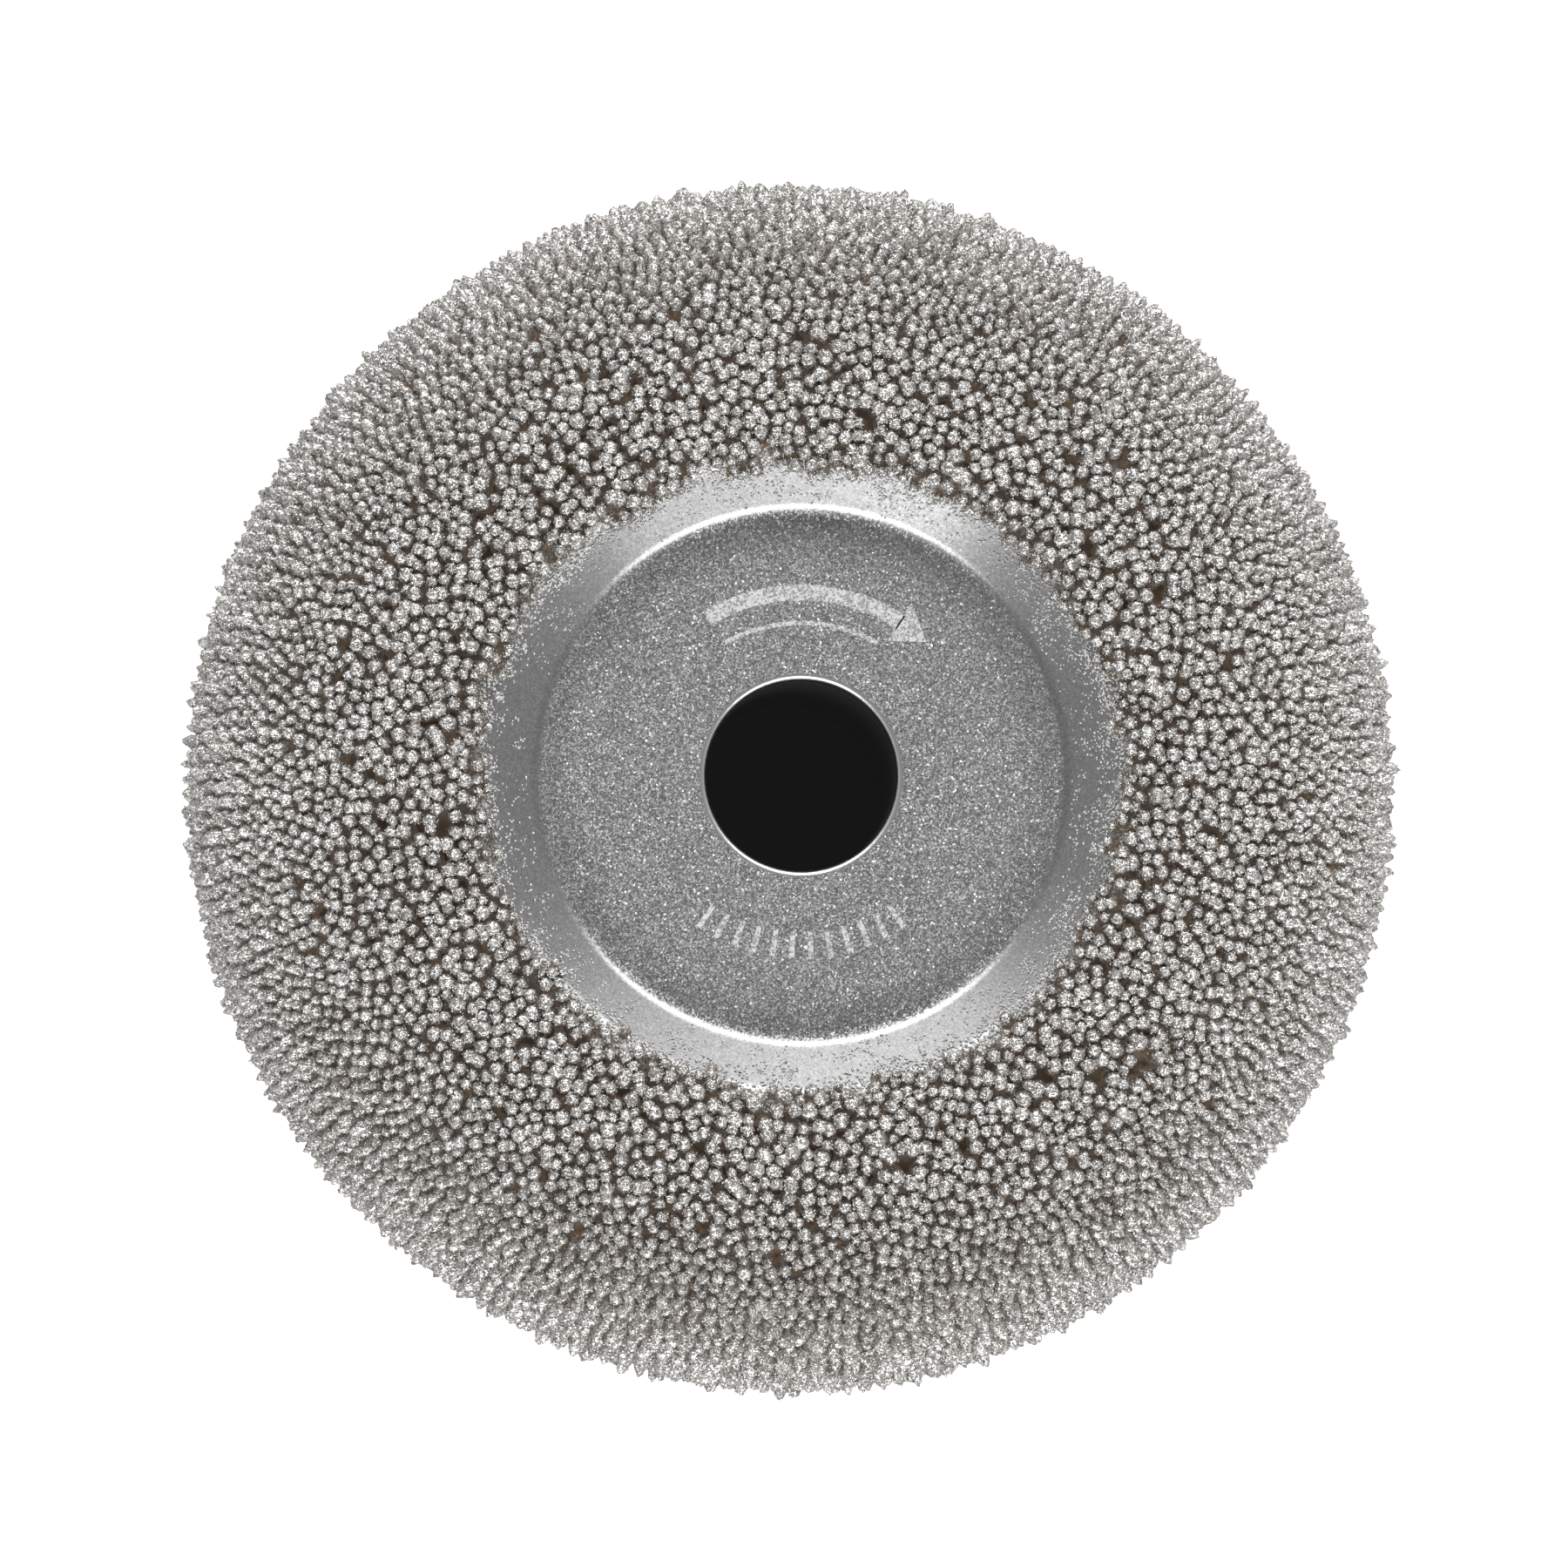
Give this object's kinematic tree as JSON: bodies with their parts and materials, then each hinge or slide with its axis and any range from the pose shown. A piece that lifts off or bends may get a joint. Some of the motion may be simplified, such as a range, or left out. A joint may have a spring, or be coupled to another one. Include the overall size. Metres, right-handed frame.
{
  "type": "contour buffing wheel",
  "caption": "Bagel-shaped steel wheel with a coarse carbide grit coat, a recessed flat hub and a plain round bore, for shaping wood or rubber on a rotary tool.",
  "frame": {"origin": "on the bore's axis, at the lowest point of the rear grit coat", "axes": "+Z along the bore axis, from the rear hub plate to the front one"},
  "size_m": [0.065, 0.065, 0.027],
  "materials": {
    "shell_steel": "satin grey plate with fine sparkle, brighter and smoother on the sloping wall",
    "bush_steel": "dark oxide",
    "filler_metal": "dull brazed joint",
    "carbide_grit": "brazed needles, granular and glittering, brown-dark between them"
  },
  "bodies": {
    "root": {"front_shell": "shell_steel", "rear_shell": "shell_steel", "arbor_bush": "bush_steel", "rim_joining_ring": "filler_metal", "front_grit_coat": "carbide_grit", "rear_grit_coat": "carbide_grit"}
  },
  "joints": []
}
